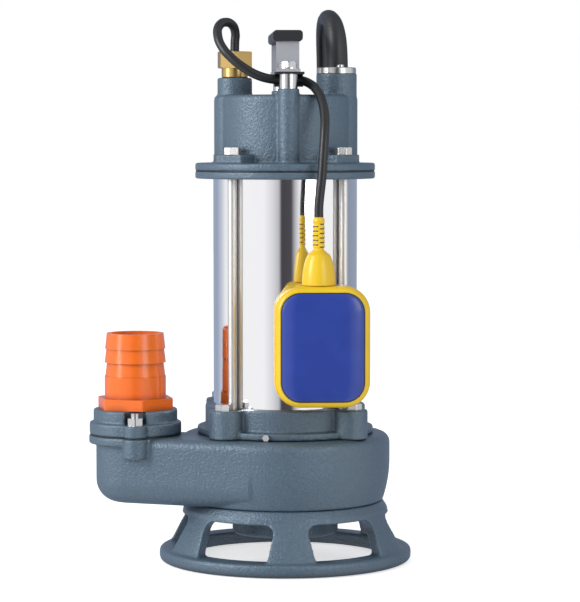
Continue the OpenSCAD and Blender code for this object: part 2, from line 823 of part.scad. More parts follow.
module seal_seat() color(ceramic)
    translate([0, 0, z_seat]) tube(seat_r - press_gap, seal_shaft_r + 1.2, seat_t);

module seal_ring() color(dark_steel) translate([0, 0, z_ring + run_gap])
    tube(seat_r - 1.5, seal_shaft_r + press_gap, ring_t - run_gap);

module seal_spring() color(steel) {
    steps = 16;
    rise = spring_h - 2 * spring_wire_r - 0.1;
    path = [for (i = [0:spring_turns * steps])
        [spring_r * cos(360 * i / steps), spring_r * sin(360 * i / steps),
            z_spring + spring_wire_r + 0.05 + rise * i / (spring_turns * steps)]];
    swept_round(path, spring_wire_r, 6, [0, 0, 1]);
}

module bearing_outer_ring() difference() {
    rounded_disc(bearing_r - press_gap, bearing_w, top = 0.8, bottom = 0.8);
    translate([0, 0, -1]) cylinder(r = inner_race_r + race_land, h = bearing_w + 2);
    translate([0, 0, bearing_w / 2]) rotate_extrude() translate([inner_race_r, 0]) circle(ball_r + run_gap);
}

module bearing_inner_ring() difference() {
    rounded_disc(inner_race_r - race_land, bearing_w, top = 0.6, bottom = 0.6);
    translate([0, 0, -1]) cylinder(r = shaft_r + press_gap, h = bearing_w + 2);
    translate([0, 0, bearing_w / 2]) rotate_extrude() translate([inner_race_r, 0]) circle(ball_r + run_gap);
}

module in_both_bearings() {
    for (z = [z_lower_bearing, z_upper_bearing]) translate([0, 0, z]) children();
}

module bearing_outer_rings() color(steel) in_both_bearings() bearing_outer_ring();

module bearing_inner_rings() color(steel) in_both_bearings() bearing_inner_ring();

module ball_circle(r) {
    for (i = [0:ball_count - 1]) rotate([0, 0, 360 / ball_count * i])
        translate([inner_race_r, 0, bearing_w / 2]) sphere(r, $fn = 32);
}

module bearing_balls() color(steel) in_both_bearings() ball_circle(ball_r);

module bearing_cages() color(brass) in_both_bearings() difference() {
    translate([0, 0, (bearing_w - cage_h) / 2]) tube(inner_race_r + cage_t / 2, inner_race_r - cage_t / 2, cage_h);
    ball_circle(ball_r + press_gap);
}

module wave_washer() color(steel)
    translate([0, 0, z_upper_bearing + bearing_w]) tube(bearing_r - 0.5, bearing_r - 4, wave_h);

// ---------- motor ----------

module rotor_core() color(iron) difference() {
    union() {
        translate([0, 0, stack_z]) cylinder(r = rotor_r, h = stack_h);
        for (z = [stack_z - end_ring_h, stack_top - eps]) translate([0, 0, z])
            rounded_disc(end_ring_r, end_ring_h + eps, top = 1.5, bottom = 1.5);
    }
    cylinder(r = rotor_seat_r + press_gap, h = z_upper);
}

module in_slots() {
    for (i = [0:slot_count - 1]) rotate([0, 0, 360 / slot_count * i]) children();
}

module stator_core() color(dark_steel) translate([0, 0, stack_z]) difference() {
    tube(shell_in_r - press_gap, rotor_r + air_gap, stack_h);
    in_slots() translate([slot_in_r, -slot_w / 2, -1]) cube([slot_out_r - slot_in_r, slot_w, stack_h + 2]);
    in_slots() translate([rotor_r, -slot_mouth_w / 2, -1]) cube([4, slot_mouth_w, stack_h + 2]);
}

module stator_windings() color(copper) {
    for (z = [stack_z - winding_h - 0.5, stack_top + 0.5]) translate([0, 0, z]) difference() {
        rounded_disc(slot_out_r + 3, winding_h, top = 7, bottom = 7);
        translate([0, 0, -1]) cylinder(r = slot_in_r + 0.5, h = winding_h + 2);
    }
    in_slots() translate([slot_in_r + 0.8, -slot_w / 2 + 0.2, stack_z - 2])
        cube([slot_out_r - slot_in_r - 1, slot_w - 0.4, stack_h + 4]);
}

module motor_shell() color(steel) translate([0, 0, z_shell]) tube(shell_r, shell_in_r, shell_h);

module shell_o_rings() color(black_rubber)
    for (z = [z_shell + shell_spigot_h / 2, z_upper - shell_spigot_h / 2])
        translate([0, 0, z]) rotate_extrude() translate([shell_in_r - ring_groove + 0.75, 0]) circle(0.75, $fn = 24);

module o_ring_groove(z) {
    translate([0, 0, z - 1]) tube(shell_in_r + 1, shell_in_r - ring_groove, 2);
}

// ---------- lower bracket ----------

module lower_bracket() color(cast_blue) difference() {
    union() {
        translate([0, 0, z_crown]) cylinder(r = bracket_r, h = bracket_h);
        translate([0, 0, z_crown + ledge_gap]) rounded_disc(ledge_r, ledge_h - ledge_gap, top = 0.8);
        at_corners(bracket_r - lug_r) translate([0, lug_edge - lug_r, z_crown])
            cube([lug_pitch_r - bracket_r + lug_r, 2 * (lug_r - lug_edge), bracket_h]);
        at_corners(lug_pitch_r) translate([0, 0, z_crown]) rounded_disc(lug_r, bracket_h, top = lug_edge);
        translate([0, 0, z_shell - eps]) tube(shell_in_r - fit_gap, shell_in_r - spigot_wall, shell_spigot_h);
    }
    translate([0, 0, z_crown - 1]) cylinder(r = oil_r, h = z_oil_top - z_crown + 1);
    cylinder(r = bearing_r - 6, h = z_shell);
    translate([0, 0, z_lower_bearing]) cylinder(r = bearing_r, h = bearing_w + 1);
    o_ring_groove(z_shell + shell_spigot_h / 2);
    at_corners(tie_pitch_r) translate([0, 0, z_shell - tie_thread_depth - 1]) cylinder(r = m8_r + fit_gap, h = 40);
    at_corners(bracket_bolt_r) translate([0, 0, z_crown - 1]) cylinder(r = m8_r + fit_gap, h = 40);
    at_corners(plate_screw_r) translate([0, 0, z_crown - 1]) cylinder(r = m6_r + fit_gap, h = 6);
    rotate([0, 0, oil_plug_angle]) translate([oil_r - 2, 0, oil_plug_z]) rotate([0, 90, 0]) {
        cylinder(r = 1.2, h = 50);
        translate([0, 0, ledge_r - oil_r - 6]) cylinder(r = 2 + fit_gap, h = 10);
    }
}

module seal_plate() color(iron) difference() {
    translate([0, 0, z_seal_plate]) cylinder(r = opening_r - fit_gap, h = z_crown - z_seal_plate);
    translate([0, 0, z_oil_floor - 1]) cylinder(r = oil_r, h = z_crown);
    translate([0, 0, z_seat]) cylinder(r = seat_r, h = 20);
    cylinder(r = seal_shaft_r + 1.5, h = z_crown);
    at_corners(plate_screw_r) {
        cylinder(r = m6_head_r + 0.4, h = z_seal_head);
        cylinder(r = m6_r + fit_gap, h = z_crown + 5);
    }
}

module bracket_bolts() color(steel)
    at_corners(bracket_bolt_r) translate([0, 0, z_shell]) hex_bolt(m8_r, bracket_bolt_len - 0.5, m8_af, m8_head_h);

module oil_plug() color(steel)
    rotate([0, 0, oil_plug_angle]) translate([ledge_r - 5, 0, oil_plug_z]) rotate([0, 90, 0]) {
        cylinder(r = 2, h = 5 + eps, $fn = 32);
        translate([0, 0, 5]) hexagon(5.5, 2.5);
    }

// ---------- upper bracket and top cover ----------

module upper_bracket() color(cast_blue) difference() {
    union() {
        translate([0, 0, z_upper]) rounded_disc(flange_r, upper_flange_t, bottom = 1.5);
        translate([0, 0, z_upper - shell_spigot_h]) cylinder(r = shell_in_r - fit_gap, h = shell_spigot_h + 1);
        translate([0, 0, z_upper_bearing - 3]) cylinder(r = housing_r, h = 12);
    }
    translate([0, 0, z_upper_bearing - 4]) cylinder(r = bearing_r, h = bearing_w + wave_h + 4);
    difference() {
        translate([0, 0, z_upper - shell_spigot_h - 1]) tube(shell_in_r - spigot_wall, housing_r, shell_spigot_h + 1);
        translate([0, 0, z_upper]) cylinder(r = 1, h = 1);
    }
    o_ring_groove(z_upper - shell_spigot_h / 2);
    at_corners(tie_pitch_r) translate([0, 0, z_upper - 1]) cylinder(r = m8_r + 0.3, h = upper_flange_t + 2);
    for (s = [-1, 1]) translate([s * 43, 0, z_upper - 1]) cylinder(r = 7, h = upper_flange_t + 2);
}

module cover_gasket() color(black_rubber) translate([0, 0, z_gasket]) difference() {
    tube(flange_r - 0.5, drum_r - cover_wall, gasket_t);
    at_corners(tie_pitch_r) translate([0, 0, -1]) cylinder(r = m8_r + 0.3, h = gasket_t + 2);
}

module column(x, r) {
    translate([x, 0, z_cover]) rounded_disc(r, z_drum - z_cover, top = drum_edge);
}

module top_cover() color(cast_blue) difference() {
    union() {
        translate([0, 0, z_cover]) rounded_disc(flange_r, cover_flange_t, top = 1.5);
        intersection() {
            at_corners(0) translate([0, -pad_r, z_cover]) cube([pad_pitch_r, 2 * pad_r, z_pad - z_cover]);
            translate([0, 0, z_cover]) rounded_disc(flange_r - 1, z_pad - z_cover, top = 1);
        }
        translate([0, 0, z_cover]) rounded_disc(drum_r, z_drum - z_cover, top = drum_edge);
        column(-float_gland_x, column_r);
        column(power_gland_x, right_column_r);
        translate([-float_gland_x, 0, z_cover]) rounded_disc(left_boss_r, z_left_boss - z_cover, top = 1);
        translate([power_gland_x, 0, z_cover]) rounded_disc(right_boss_r, z_right_boss - z_cover, top = 0.8);
        at_both_ends(handle_y) translate([0, 0, z_cover]) cylinder(r = post_r, h = z_post - z_cover);
    }
    translate([0, 0, z_cover - 1]) rounded_disc(drum_r - cover_wall - 1, z_drum - z_cover - cover_wall, top = 4);
    translate([-float_gland_x, 0, z_drum - 16]) cylinder(r = cover_bore_r, h = 60);
    translate([power_gland_x, 0, z_drum - 16]) cylinder(r = cable_r + 1, h = 60);
    power_screws_at() translate([0, 0, z_right_boss - m4_len + gland_plate_t - 1]) cylinder(r = m4_r + fit_gap, h = 30);
    at_both_ends(handle_y) translate([0, 0, z_post - handle_thread_depth - 0.5]) cylinder(r = m8_r + fit_gap, h = 20);
    at_corners(tie_pitch_r) translate([0, 0, z_cover - 1]) cylinder(r = m8_r + 0.3, h = 30);
}

module tie_bolts() color(steel)
    at_corners(tie_pitch_r) translate([0, 0, z_pad])
        hex_bolt(m8_r, z_pad - z_shell + tie_thread_depth, m8_af, m8_head_h + 1);

module capacitor() color(white_plastic) translate([0, 0, z_gasket]) {
    rounded_disc(capacitor_r, capacitor_h, top = 2, bottom = 1);
    for (s = [-1, 1]) translate([s * tab_x - tab_t / 2, -tab_w / 2, capacitor_h - 1]) cube([tab_t, tab_w, tab_w]);
}

module terminal_block() color(white_plastic) translate([-block_l / 2, block_y, z_gasket]) difference() {
    cube([block_l, block_w, block_h]);
    for (i = [0:3]) translate([block_l / 8 * (2 * i + 1), block_w / 2, 4]) cylinder(r = wire_r, h = block_h);
}

// ---------- handle ----------

module leg_bar(y, z, len, r) {
    translate([-strap_w / 2, y, z]) cube([strap_w, r, len]);
}

// Section of the strap, in the plane of its legs
module strap_profile() {
    top = grip_z + strap_t / 2;
    difference() {
        union() {
            translate([-leg_y, z_foot]) square([2 * leg_y, top - z_foot]);
            for (s = [-1, 1]) translate([s > 0 ? 0 : -handle_y - foot_end, z_foot])
                square([handle_y + foot_end, strap_t]);
        }
        translate([-leg_y + strap_t, z_foot - 1]) square([2 * (leg_y - strap_t), top - z_foot - strap_t + 1]);
        for (s = [-1, 1]) translate([s * (leg_y - strap_bend), top - strap_bend])
            difference() {
                translate([s > 0 ? 0 : -strap_bend - 1, 0]) square(strap_bend + 1);
                circle(strap_bend, $fn = 32);
            }
    }
}

module handle_strap() color(steel) difference() {
    rotate([90, 0, 90]) translate([0, 0, -strap_w / 2]) linear_extrude(height = strap_w) strap_profile();
    at_both_ends(handle_y) translate([0, 0, z_foot - 1]) cylinder(r = m8_r + 0.3, h = strap_t + 2);
}

module grip_section(half_x, half_z, r) {
    translate([-half_x, r - half_z]) square([2 * half_x, 2 * (half_z - r)]);
    translate([r - half_x, -half_z]) square([2 * (half_x - r), 2 * half_z]);
    for (x = [-1, 1], z = [-1, 1]) translate([x * (half_x - r), z * (half_z - r)]) circle(r, $fn = 32);
}

module handle_grip() color(black_rubber) difference() {
    translate([0, grip_half, grip_z]) rotate([90, 0, 0])
        linear_extrude(height = 2 * grip_half) grip_section(grip_w / 2, grip_h / 2, 3);
    difference() {
        translate([-strap_w / 2 - fit_gap, -leg_y - fit_gap, grip_z - grip_h])
            cube([strap_w + 2 * fit_gap, 2 * (leg_y + fit_gap), grip_h + strap_t / 2 + fit_gap]);
        translate([-strap_w, -leg_y + strap_t + fit_gap, grip_z - 2 * grip_h])
            cube([2 * strap_w, 2 * (leg_y - strap_t - fit_gap), 2 * grip_h - strap_t / 2 - fit_gap]);
    }
}

module handle_sleeves() color(steel)
    at_both_ends(handle_y) translate([0, 0, z_post])
        tube(sleeve_r, m8_r + 0.3, sleeve_h);

module handle_washers() color(steel)
    at_both_ends(handle_y) translate([0, 0, z_washers]) tube(handle_washer_r, m8_r + 0.3, handle_washer_t);

module handle_bolts() color(steel)
    at_both_ends(handle_y) translate([0, 0, z_handle_head])
        hex_bolt(m8_r, z_handle_head - z_post + handle_thread_depth, m8_af, m8_head_h);

// Flat clips between the sleeves and the handle's feet; the front one hooks round the float cable
module cable_clip() color(black_rubber) {
    difference() {
        union() {
            translate([-clip_w / 2 + 1, -handle_y - 8, z_clip]) cube([clip_w, handle_y + 8 + clip_y, clip_t]);
            translate([-clip_w / 2 + 1, clip_y, clip_z]) rotate([0, 90, 0]) difference() {
                cylinder(r = clip_r + clip_t, h = clip_w);
                translate([0, 0, -1]) cylinder(r = clip_r, h = clip_w + 2);
                translate([-20, -20, -1]) cube([40, 20, clip_w + 2]);
            }
        }
        translate([0, -handle_y, z_clip - 1]) cylinder(r = m8_r + 0.3, h = clip_t + 2);
    }
    translate([0, handle_y, z_clip]) tube(handle_washer_r, m8_r + 0.3, clip_t);
}

// ---------- glands ----------

module float_gland_body() color(brass) translate([-float_gland_x, 0, 0]) difference() {
    union() {
        translate([0, 0, z_left_boss]) rounded_disc(gland_collar_r, gland_collar_h, bottom = 1);
        translate([0, 0, z_left_boss - gland_thread_h]) cylinder(r = gland_thread_r, h = gland_thread_h + 1);
    }
    translate([0, 0, z_drum - 20]) cylinder(r = float_cable_d / 2 + fit_gap, h = 80);
}

module float_gland_nut() color(brass) translate([-float_gland_x, 0, z_gland_nut]) difference() {
    intersection() {
        rotate([0, 0, 8]) hexagon(gland_nut_af, gland_nut_h);
        rounded_disc(gland_nut_af * 0.57, gland_nut_h, top = 1.5, bottom = 1.5);
    }
    translate([0, 0, -1]) cylinder(r = float_cable_d / 2 + fit_gap, h = gland_nut_h / 2 + 1);
}

module power_screws_at() {
    for (a = [gland_screw_angle, gland_screw_angle + 180])
        translate([power_gland_x + gland_screw_r * cos(a), gland_screw_r * sin(a), 0]) children();
}

module gland_plate() color(steel) difference() {
    translate([power_gland_x, 0, z_right_boss]) rounded_disc(gland_plate_r, gland_plate_t, top = 1.2);
    translate([power_gland_x, 0, z_right_boss - 1]) cylinder(r = boot_base_r + fit_gap, h = 20);
    power_screws_at() translate([0, 0, z_right_boss - 1]) cylinder(r = m4_r + fit_gap, h = 20);
}

module gland_screws() color(steel) power_screws_at() {
    translate([0, 0, z_boot]) rounded_disc(m4_head_r - 0.1, m4_head_h, top = 1);
    translate([0, 0, z_boot - m4_len]) cylinder(r = m4_r, h = m4_len + 1, $fn = 32);
}

module power_boot() color(black_rubber) {
    translate([power_gland_x, 0, z_right_boss]) cylinder(r = boot_base_r, h = gland_plate_t + 0.2);
    swept(smooth(boot_path, 3), smooth_radii(boot_radii, 3), 20);
}

function smooth_radii(r, steps) = [
    for (i = [0:len(r) - 2], j = [0:steps - 1]) r[i] + (r[i + 1] - r[i]) * j / steps, r[len(r) - 1]
];

// ---------- power cable ----------

module power_cable() color(black_rubber) swept_round(smooth(lead_path, 2), cable_r, 10);

function layer_length(k) = (k == coil_layers - 1 ? last_turns : coil_turns) + 0.5;
function layer_start(k) = k * (coil_turns + 0.5);
// Distance from the coil's axis and height, t turns after its start
function coil_r(t) =
    let (k = min(floor(t / (coil_turns + 0.5)), coil_layers - 1), s = t - layer_start(k),
        n = layer_length(k) - 0.5,
        travelled = s <= coil_turns + 0.25 ? s : 2 * (coil_turns + 0.25) - s)
    k % 2 == 0 ? coil_out_r - coil_pitch * travelled
        : k == coil_layers - 1 ? coil_in_r + coil_pitch * min(s, n + lift_turns)
            - turn_in * ease((s - last_turns - lift_turns) / lift_turns)
        : coil_in_r + coil_pitch * travelled;
function coil_z(t) =
    let (k = min(floor(t / (coil_turns + 0.5)), coil_layers - 1), s = t - layer_start(k))
    cable_r + coil_pitch * (k + (k < coil_layers - 1 ? 2 * max(s - coil_turns, 0) : 0))
        + (k == coil_layers - 1 ? lift_h * ease((s - last_turns) / lift_turns) : 0);
function ease(x) = let (c = min(max(x, 0), 1)) c * c * (3 - 2 * c);
coil_in_r = coil_out_r - coil_pitch * coil_turns;
lift_h = cable_r + plug_r + 0.3;
coil_total = (coil_layers - 1) * (coil_turns + 0.5) + last_turns + 2 * lift_turns;
function coil_point(t) = [
    coil_centre[0] + coil_r(t) * cos(coil_start + 360 * t),
    coil_centre[1] + coil_r(t) * sin(coil_start + 360 * t),
    coil_z(t)
];
coil_path = [for (i = [0:coil_total * coil_steps]) coil_point(i / coil_steps)];
plug_dir = unit([for (c = [0:2]) c == 2 ? 0 : (coil_point(coil_total) - coil_point(coil_total - 0.02))[c]]);
coil_end = [for (s = [0, 1]) coil_path[len(coil_path) - 1] + plug_dir * (s + 0.3) * power_cable_d];
coil_dir = unit(coil_point(0.002) - coil_point(0));
lead_end = coil_path[0] - coil_dir * power_cable_d;
coil_line = concat([lead_end], coil_path, [coil_end[1]]);
lead_path = concat(cable_path, [for (s = [26, 13, 0]) lead_end - coil_dir * s]);

// Least distance between the surfaces of turns that lie beside or over each other
coil_gap = min([
    for (i = [0:2:len(coil_path) - 1], j = [i + 12:len(coil_path) - 1])
        if (abs(j - i) > 14) norm(coil_path[i] - coil_path[j])
]) - power_cable_d;
function path_length(p) = len(p) < 2 ? 0 : let (d = [for (i = [1:len(p) - 1]) norm(p[i] - p[i - 1])])
    d * [for (x = d) 1];
echo(coil_gap = coil_gap, coil_length = path_length(coil_line), lead_length = path_length(lead_path), lead_end = lead_end, coil_end = coil_end,
    float_cable_length = path_length(float_path));

module power_cable_coil() color(black_rubber) swept_round(coil_line, cable_r, 6, [0, 0, 1]);

module power_plug() color(black_rubber) translate(coil_end[1])
    rotate([0, 0, atan2(plug_dir[1], plug_dir[0])]) rotate([0, 90, 0]) {
        cylinder(r1 = cable_r + 1, r2 = plug_r * 0.62, h = plug_tail_len + eps);
        translate([0, 0, plug_tail_len]) rounded_disc(plug_r, plug_len, top = 1.5, bottom = 5);
        for (s = [-1, 1]) translate([0, s * plug_pin_gap / 2, plug_tail_len + plug_len - 1])
            rounded_disc(plug_pin_r, plug_pin_len + 1, top = 1.2);
    }

// ---------- outlet ----------

module outlet_gasket() color(black_rubber) at_outlet() translate([0, 0, z_crown]) difference() {
    outlet_outline(outlet_gasket_t, outlet_plate_r - 0.5, nose_lug_r - 0.5);
    translate([0, 0, -1]) cylinder(r = elbow_bore_r, h = 4);
    at_both_ends(stud_r) translate([0, 0, -1]) cylinder(r = m8_r + 0.3, h = 4);
}

module outlet_flange() color(cast_blue) at_outlet() difference() {
    union() {
        translate([0, 0, z_outlet_plate]) rounded_disc(outlet_plate_r, outlet_plate_t, top = 1.5);
        at_both_ends(stud_r) translate([0, 0, z_outlet_plate]) cylinder(r = nose_lug_r, h = outlet_plate_t);
        translate([0, 0, z_outlet_collar - 1]) rounded_disc(collar_r, collar_h + 1, top = 1.5);
    }
    translate([0, 0, z_outlet_plate - 1]) cylinder(r = outlet_bore_r + 2, h = 60);
    translate([0, 0, z_barb_hex - barb_thread_h - 0.5]) cylinder(r = barb_thread_r + fit_gap, h = 60);
    at_both_ends(stud_r) {
        translate([0, 0, z_outlet_plate - 1]) cylinder(r = m8_r + 0.3, h = 60);
        translate([0, 0, z_outlet_collar]) cylinder(r = nose_lug_r - 0.5, h = 60);
    }
}

module outlet_studs() color(steel) at_outlet() at_both_ends(stud_r)
    translate([0, 0, z_crown - volute_flange_t - stud_boss_h - 0.8])
        cylinder(r = m8_r, h = stud_top - z_crown + volute_flange_t + stud_boss_h + 0.8, $fn = 32);

module outlet_nuts() color(steel) at_outlet() at_both_ends(stud_r)
    translate([0, 0, z_outlet_collar]) difference() {
        intersection() {
            hexagon(m8_af, m8_nut_h);
            rounded_disc(m8_af * 0.56, m8_nut_h, top = 0.8);
        }
        translate([0, 0, -1]) cylinder(r = m8_r + press_gap, h = m8_nut_h + 2);
    }

// Half section of the barb: a thread, a plain land and teeth that taper towards the hose
module barb_profile() {
    difference() {
        union() {
            translate([0, -barb_hex_h - barb_thread_h]) square([barb_thread_r, barb_thread_h + barb_hex_h + 1]);
            square([barb_r, barb_land_h]);
            for (i = [0:tooth_count - 1]) polygon([
                [0, tooth_z(i) - 1], [barb_r - 2.5, tooth_z(i) - 1], [barb_r - 2.5, tooth_z(i)],
                [lip_r(i), tooth_z(i)], [lip_r(i) - tooth_step, tooth_z(i + 1)],
                [0, tooth_z(i + 1)]
            ]);
        }
        translate([-1, -60]) square([outlet_bore_r + 1, 200]);
    }
}

// Radius of a tooth's lip. None stands out past the land, so that a hose slides down over them
function lip_r(i) = barb_r - (i == 0 ? land_step : tooth_taper * (i - 1));
function tooth_z(i) = barb_land_h + (i < tooth_count ? tooth_pitch * i
    : tooth_pitch * (tooth_count - 1) + tip_h);

module hose_barb() color(orange) at_outlet() {
    translate([0, 0, z_barb]) rotate_extrude() barb_profile();
    translate([0, 0, z_barb_hex]) difference() {
        intersection() {
            rotate([0, 0, barb_turn]) hexagon(barb_af, barb_hex_h);
            rounded_disc(barb_af * 0.572, barb_hex_h, top = 1.5);
        }
        translate([0, 0, -1]) cylinder(r = barb_r - 2, h = barb_hex_h + 2);
    }
}

// ---------- float switch ----------

module in_float() {
    translate([float_x, float_hinge[1], 0]) children();
}

// Rounded block of the float, standing on z = 0, with its flat faces square to Y
module float_block(w, h, t, corner, edge) {
    hull() for (x = [-1, 1], z = [0, 1])
        translate([x * (w / 2 - corner), 0, z == 0 ? corner : h - corner]) rotate([90, 0, 0])
            translate([0, 0, -t / 2]) rounded_disc(corner, t, top = edge, bottom = edge, $fn = 32);
}

module float_plate(w, h, corner, t) {
    rotate([90, 0, 0]) linear_extrude(height = t) {
        translate([-w / 2, corner]) square([w, h - 2 * corner]);
        translate([corner - w / 2, 0]) square([w - 2 * corner, h]);
        for (x = [-1, 1], z = [0, 1])
            translate([x * (w / 2 - corner), z == 0 ? corner : h - corner]) circle(corner);
    }
}

module float_frame() color(float_yellow) in_float() {
    difference() {
        translate([0, 0, float_mid_z - float_h / 2])
            float_block(float_w, float_h, float_t, float_corner_r, float_edge);
        translate([0, float_t / 2 - panel_t, float_mid_z - float_h / 2 + float_rim + 2])
            float_plate(float_w - 2 * float_rim - 4, float_h - 2 * float_rim - 4,
                float_corner_r - float_rim - 2, float_t - 2 * panel_t);
        for (s = [-1, 1]) translate([0, s > 0 ? float_t / 2 + 1 : -float_t / 2 + panel_t, float_mid_z - float_h / 2 + float_rim])
            float_plate(float_w - 2 * float_rim, float_h - 2 * float_rim, float_corner_r - float_rim, panel_t + 1);
    }
}

module float_panels() color(float_blue) in_float()
    for (s = [-1, 1]) translate([0, s > 0 ? float_t / 2 : -float_t / 2 + panel_t - fit_gap,
            float_mid_z - float_h / 2 + float_rim + fit_gap])
        float_plate(float_w - 2 * float_rim - 2 * fit_gap, float_h - 2 * float_rim - 2 * fit_gap,
            float_corner_r - float_rim - fit_gap, panel_t - fit_gap);

// Ribbed strain relief with a ball end, so that it keeps its distance from the cable as it swings
module float_neck() color(float_yellow) translate(float_hinge) {
    sphere(neck_ball_r);
    rotate_extrude() {
        translate([0, -neck_len + 0.5]) square([neck_r, neck_len - 2]);
        for (i = [0:neck_rib_count - 1]) translate([0, -neck_rib_start - neck_rib_pitch * (i + 0.5)])
            square([neck_rib_r, neck_rib_pitch * 0.6]);
        translate([0, -neck_len]) polygon(concat(
            [[0, bell_h], [0, seat_gap]],
            [for (i = [0:bell_steps]) let (t = i / bell_steps)
                [neck_rib_r + (bell_r - neck_rib_r) * sqrt(1 - t * t), max(seat_gap, bell_h * t)]]
        ));
    }
}

module float_track() color(white_plastic) in_float() translate([0, 0, ball_rest_z - float_ball_r - seat_gap]) {
    inner_w = 2 * (float_ball_r + seat_gap);
    inner_h = 2 * float_ball_r + float_ball_travel + 2 * seat_gap;
    depth = float_t - 2 * panel_t - 2 * fit_gap;
    translate([0, 0, -track_end]) difference() {
        translate([-track_w / 2, -depth / 2, 0]) cube([track_w, depth, inner_h + 2 * track_end]);
        translate([0, 0, track_end]) translate([-inner_w / 2, -inner_w / 2, 0]) cube([inner_w, inner_w, inner_h]);
        translate([-3, 0, inner_h]) cube([6, depth, 10]);
    }
}

module float_ball() color(steel) in_float() translate([0, 0, ball_rest_z]) sphere(float_ball_r);

module float_switch() color(dark_steel) in_float()
    translate([-10, -5, ball_rest_z + float_ball_r + float_ball_travel + seat_gap + track_end]) cube([20, 10, 7]);

module float_cable() color(black_rubber) swept_round(smooth(float_path, 2), float_cable_d / 2, 10);

base_stand();
base_bolts();
suction_plate();
plate_screws();
volute();
impeller();
impeller_key();
impeller_washer();
impeller_nut();
shaft();
rotor_core();
stator_core();
stator_windings();
motor_shell();
shell_o_rings();
lower_bracket();
seal_plate();
seal_seat();
seal_ring();
seal_spring();
bearing_outer_rings();
bearing_inner_rings();
bearing_balls();
bearing_cages();
wave_washer();
upper_bracket();
cover_gasket();
top_cover();
tie_bolts();
bracket_bolts();
oil_plug();
handle_strap();
handle_grip();
handle_bolts();
handle_washers();
handle_sleeves();
cable_clip();
float_gland_body();
float_gland_nut();
power_boot();
gland_plate();
gland_screws();
power_cable();
power_cable_coil();
power_plug();
capacitor();
terminal_block();
outlet_gasket();
outlet_flange();
outlet_studs();
outlet_nuts();
hose_barb();
float_frame();
float_panels();
float_neck();
float_track();
float_ball();
float_switch();
float_cable();
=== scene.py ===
import json
import math
import bpy
from mathutils import Euler, Matrix, Vector


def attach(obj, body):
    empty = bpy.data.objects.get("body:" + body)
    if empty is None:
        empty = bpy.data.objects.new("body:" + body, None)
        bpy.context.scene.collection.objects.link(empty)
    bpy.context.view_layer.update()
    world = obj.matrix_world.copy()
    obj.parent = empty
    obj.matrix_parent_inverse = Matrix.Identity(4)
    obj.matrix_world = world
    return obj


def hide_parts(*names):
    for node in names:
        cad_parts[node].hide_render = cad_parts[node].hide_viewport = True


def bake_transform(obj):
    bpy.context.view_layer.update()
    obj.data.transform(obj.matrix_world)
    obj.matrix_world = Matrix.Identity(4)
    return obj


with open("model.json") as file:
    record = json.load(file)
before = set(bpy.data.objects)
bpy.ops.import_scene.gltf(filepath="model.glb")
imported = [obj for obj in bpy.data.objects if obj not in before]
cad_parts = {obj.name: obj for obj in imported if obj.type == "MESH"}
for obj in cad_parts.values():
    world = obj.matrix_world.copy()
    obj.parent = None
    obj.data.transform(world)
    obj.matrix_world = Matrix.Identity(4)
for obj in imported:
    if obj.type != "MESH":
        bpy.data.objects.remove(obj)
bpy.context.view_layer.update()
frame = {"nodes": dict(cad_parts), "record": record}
nodes = frame["nodes"]
scene = bpy.context.scene

# Camera: about 2.3 m in front, a little to the left and below the handle's height
camera = {"place": (-0.1192, -2.2769, 0.3763), "turn": 3.105, "pitch": 3.667, "lens": 153.84}
camData = bpy.data.cameras.new("Camera")
camData.sensor_fit = "VERTICAL"
camData.sensor_height = 36
camData.sensor_width = 36
camData.lens = camera["lens"]
camData.clip_end = 30
cam = bpy.data.objects.new("Camera", camData)
scene.collection.objects.link(cam)
cam.location = camera["place"]
cam.rotation_euler = Euler((math.radians(90 - camera["pitch"]), 0, math.radians(-camera["turn"])))
scene.camera = cam
scene.view_settings.view_transform = "Standard"
print("camera done")


# sRGB from 0 to 255, to the linear colour that a socket takes
def linear(rgb):
    out = []
    for v in rgb:
        c = v / 255
        out.append(c / 12.92 if c <= 0.04045 else ((c + 0.055) / 1.055) ** 2.4)
    return (*out, 1)


